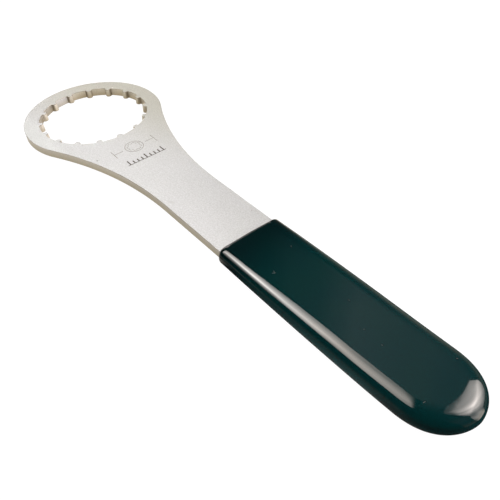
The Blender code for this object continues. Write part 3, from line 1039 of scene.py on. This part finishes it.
key_end = key.math("MULTIPLY_ADD", key_at.outputs["X"], 0.96, key.math("MULTIPLY_ADD", key_at.outputs["Y"], 0.28, 0.008))
key_fall = key.math("MULTIPLY", key_fall, key.remap(key_end, -0.032, 0.035, 1.0, 0.0, True))
key.feed(key.glow.inputs["Color"], key.mix(key.remap(key_x, -0.62, -0.35, 0.0, 1.0, True), KEY_TINT, (1.0, 0.885, 0.805)))
key.feed(key.glow.inputs["Strength"], key.math("MULTIPLY", key_along, key.math("MULTIPLY", key_across, key_fall)))
sheet(
    "overhead_diffuser",
    [
        (0.02, -0.17, 1.2), (0.05, 0.0, 1.2), (-0.13, 0.66, 1.2), (-0.50, 0.60, 1.2), (-0.60, 0.53, 1.2), (-0.66, 0.44, 1.2), (-0.72, 0.31, 1.2),
        (-0.78, 0.20, 1.2), (-0.85, 0.06, 1.2), (-1.05, -0.12, 1.2), (-1.22, -0.6, 1.2), (-1.15, -1.1, 1.2), (-0.85, -0.95, 1.2),
        (-0.70, -0.66, 1.2), (-0.60, -0.50, 1.2), (-0.46, -0.42, 1.2), (-0.35, -0.34, 1.2), (-0.20, -0.24, 1.2),
    ],
    key.material,
)
# The diffuser beyond it is lit from its far, low corner.
beyond = Glow("far_diffuser", KEY_TINT)
beyond_at = beyond.add("ShaderNodeSeparateXYZ", {"Vector": beyond.add("ShaderNodeNewGeometry").outputs["Position"]})
beyond.feed(
    beyond.glow.inputs["Strength"],
    beyond.math(
        "MULTIPLY",
        beyond.steps(beyond_at.outputs["X"], -2.5, -1.0, [(-2.4, 6.4), (-2.2, 5.4), (-2.0, 4.4), (-1.7, 3.6), (-1.4, 3.2), (-1.2, 3.0)]),
        beyond.remap(beyond_at.outputs["Y"], 0.2, 1.3, 1.32 * FAR_DIFFUSER, 0.62 * FAR_DIFFUSER),
    ),
)
sheet(
    "far_diffuser",
    [
        (-1.22, 0.47, 1.2), (-1.20, 1.20, 1.2), (-1.6, 1.40, 1.2), (-2.30, 1.25, 1.2), (-2.40, 0.10, 1.2), (-1.90, 0.35, 1.2),
    ],
    beyond.material,
)

# The window beyond the grip's end. A bright ridge of light crosses it on a slant.
WINDOW_FROM = Vector((0.112, 0.0, 0.006))
WINDOW_AXIS = Vector((0.26, 0.66, 0.70)).normalized()
window_corners = []
for turned, risen in (
    (90.0, 67.2), (96.0, 63.5), (101.0, 60.0), (103.2, 56.0), (99.5, 52.0), (97.0, 49.5), (94.0, 46.9), (91.0, 43.8), (88.4, 40.5),
    (86.6, 37.2), (85.1, 33.5), (83.4, 29.5), (80.3, 23.5), (77.2, 17.6), (72.5, 15.0), (68.0, 15.5), (64.5, 18.5), (60.5, 20.0), (56.0, 22.0),
    (53.5, 21.5), (51.0, 15.0), (49.6, 8.0), (48.0, 1.0), (23.5, 1.0), (22.0, 11.5), (22.0, 24.0), (26.0, 37.0), (31.0, 45.0),
    (38.0, 50.0), (42.3, 54.5), (48.0, 60.3), (52.0, 62.7), (58.0, 65.5), (62.0, 67.5), (68.0, 69.3), (76.0, 70.5), (84.0, 69.0),
):
    turned, risen = math.radians(turned), math.radians(risen)
    ray = Vector((math.cos(turned) * math.cos(risen), math.sin(turned) * math.cos(risen), math.sin(risen)))
    window_corners.append(WINDOW_FROM + ray * (1.2 / ray.dot(WINDOW_AXIS)))
pane = Glow("side_window", WINDOW_TINT)
pane_from = pane.add(
    "ShaderNodeVectorMath",
    {0: pane.add("ShaderNodeNewGeometry").outputs["Position"], 1: tuple(WINDOW_FROM)},
    operation="SUBTRACT",
)
pane_way = pane.add("ShaderNodeVectorMath", {0: pane_from}, operation="NORMALIZE")
pane_at = pane.add("ShaderNodeSeparateXYZ", {"Vector": pane_way})
pane_turn = pane.math("MULTIPLY", pane.math("ARCTAN2", pane_at.outputs["Y"], pane_at.outputs["X"]), 180 / math.pi)
pane_rise = pane.math("MULTIPLY", pane.math("ARCSINE", pane_at.outputs["Z"]), 180 / math.pi)
# Height of the ridge at each turn, how bright it is there, and how the light falls off from it.
ridge_at = pane.steps(
    pane_turn, 20, 108,
    [(24, 51.0), (44, 54.0), (52, 54.6), (59, 54.8), (62, 54.0), (66, 52.0), (70, 50.5), (74, 48.5), (78, 45.0), (80, 42.5), (82, 40.8), (84, 40.2), (86, 43.0), (88, 47.0), (90, 50.0), (96, 52.0), (104, 54.0)],
)
ridge_level = pane.steps(
    pane_turn, 20, 108,
    [(24, 2.0), (32, 2.0), (40, 2.0), (44, 2.6), (48, 4.0), (52, 6.6), (56, 9.2), (60, 9.8), (64, 9.8), (66, 10.2), (68, 12.6), (70, 14.6), (73, 15.6), (76, 12.8), (78, 11.2), (80, 9.8), (82, 8.8), (84, 8.0), (86, 6.7), (88, 5.7), (92, 4.9), (96, 4.1), (100, 2.8), (104, 1.2)],
)
pane_off = pane.math("SUBTRACT", pane_rise, ridge_at)
fall_left = pane.steps(
    pane_off, -60, 30,
    [(-52, 0.06), (-39, 0.08), (-34, 0.13), (-30, 0.22), (-26, 0.27), (-22, 0.32), (-18, 0.38), (-14, 0.45), (-10, 0.50), (-7, 0.54), (-4, 0.62), (-2, 0.80), (0, 1.0), (3, 0.93), (6, 0.83), (9, 0.72), (12, 0.62), (16, 0.55), (20, 0.50)],
)
fall_mid = pane.steps(
    pane_off, -60, 30,
    [(-52, 0.05), (-38, 0.08), (-32, 0.16), (-28, 0.27), (-24, 0.36), (-20, 0.46), (-17, 0.57), (-14, 0.70), (-10, 0.80), (-6, 0.80), (-3, 0.86), (0, 1.0), (3, 0.93), (6, 0.83), (9, 0.72), (12, 0.62), (20, 0.50)],
)
fall_right = pane.steps(
    pane_off, -60, 30,
    [(-52, 0.05), (-44, 0.06), (-36, 0.09), (-30, 0.14), (-26, 0.18), (-22, 0.25), (-18, 0.34), (-14, 0.45), (-10, 0.57), (-6, 0.69), (-3, 0.83), (0, 1.0), (3, 0.96), (6, 0.87), (9, 0.80), (12, 0.74), (16, 0.69), (20, 0.63)],
)
fall = pane.lerp(pane.remap(pane_turn, 57.0, 61.5, 0.0, 1.0, True), fall_left, fall_mid)
fall = pane.lerp(pane.remap(pane_turn, 64.5, 69.0, 0.0, 1.0, True), fall, fall_right)
high_fade = pane.steps(
    pane.math("SUBTRACT", pane_rise, pane.remap(pane_turn, 73.0, 80.0, 0.0, 3.4, True)), 0, 90,
    [(10, 1.0), (54, 1.0), (57, 0.85), (60, 0.63), (63, 0.49), (66, 0.30), (70, 0.10), (80, 0.05)],
)
far_corner = pane.math("MULTIPLY_ADD", pane.math("MAXIMUM", pane.math("SUBTRACT", pane_turn, 84.0), 0.0), 0.5, pane_rise)
high_fade = pane.math("MULTIPLY", high_fade, pane.remap(far_corner, 63.0, 67.5, 1.0, 0.3, True))
pane_low = pane.math(
    "MULTIPLY",
    pane.remap(pane_rise, 24.0, 52.0, 3.3, 0.0, True),
    pane.math("MULTIPLY", pane.remap(pane_turn, 45.0, 53.0, 1.0, 0.0, True), pane.remap(pane_turn, 20.0, 31.0, 0.15, 1.0, True)),
)
pane.feed(
    pane.glow.inputs["Strength"],
    pane.math("MULTIPLY_ADD", pane.math("MULTIPLY", ridge_level, fall), pane.math("MULTIPLY", high_fade, WINDOW_LEVEL), pane_low),
)
pane_warm = pane.math("MULTIPLY", pane.remap(pane_rise, 34.0, 20.0, 0.0, 1.0, True), pane.remap(pane_turn, 54.0, 46.0, 0.0, 1.0, True))
pane.feed(pane.glow.inputs["Color"], pane.mix(pane_warm, WINDOW_TINT, (1.0, 0.87, 0.76)))
sheet("side_window", window_corners, pane.material)

# --------------------------------------------------------------------- camera
ELEVATION, SWING, ROLL = math.radians(44.54), math.radians(51.66), math.radians(-2.60)
right = Vector((math.cos(SWING), math.sin(SWING), 0.0))
ahead_flat = Vector((-math.sin(SWING), math.cos(SWING), 0.0))
ahead = ahead_flat * math.cos(ELEVATION) - Vector((0, 0, math.sin(ELEVATION)))
above = ahead_flat * math.sin(ELEVATION) + Vector((0, 0, math.cos(ELEVATION)))
cam_right = right * math.cos(ROLL) + above * math.sin(ROLL)
cam_up = above * math.cos(ROLL) - right * math.sin(ROLL)
camera_data = bpy.data.cameras.new("photo_camera")
camera_data.lens = 38.94
camera_data.sensor_width = 36.0
camera_data.clip_start, camera_data.clip_end = 0.01, 50.0
camera = bpy.data.objects.new("photo_camera", camera_data)
rotation = Matrix((cam_right, cam_up, -ahead)).transposed()
camera.matrix_world = Matrix.Translation((0.133405, -0.08494, 0.13381)) @ rotation.to_4x4()
bpy.context.scene.collection.objects.link(camera)
bpy.context.scene.camera = camera

bpy.context.scene.view_settings.view_transform = "Standard"
bpy.context.scene.view_settings.look = "None"
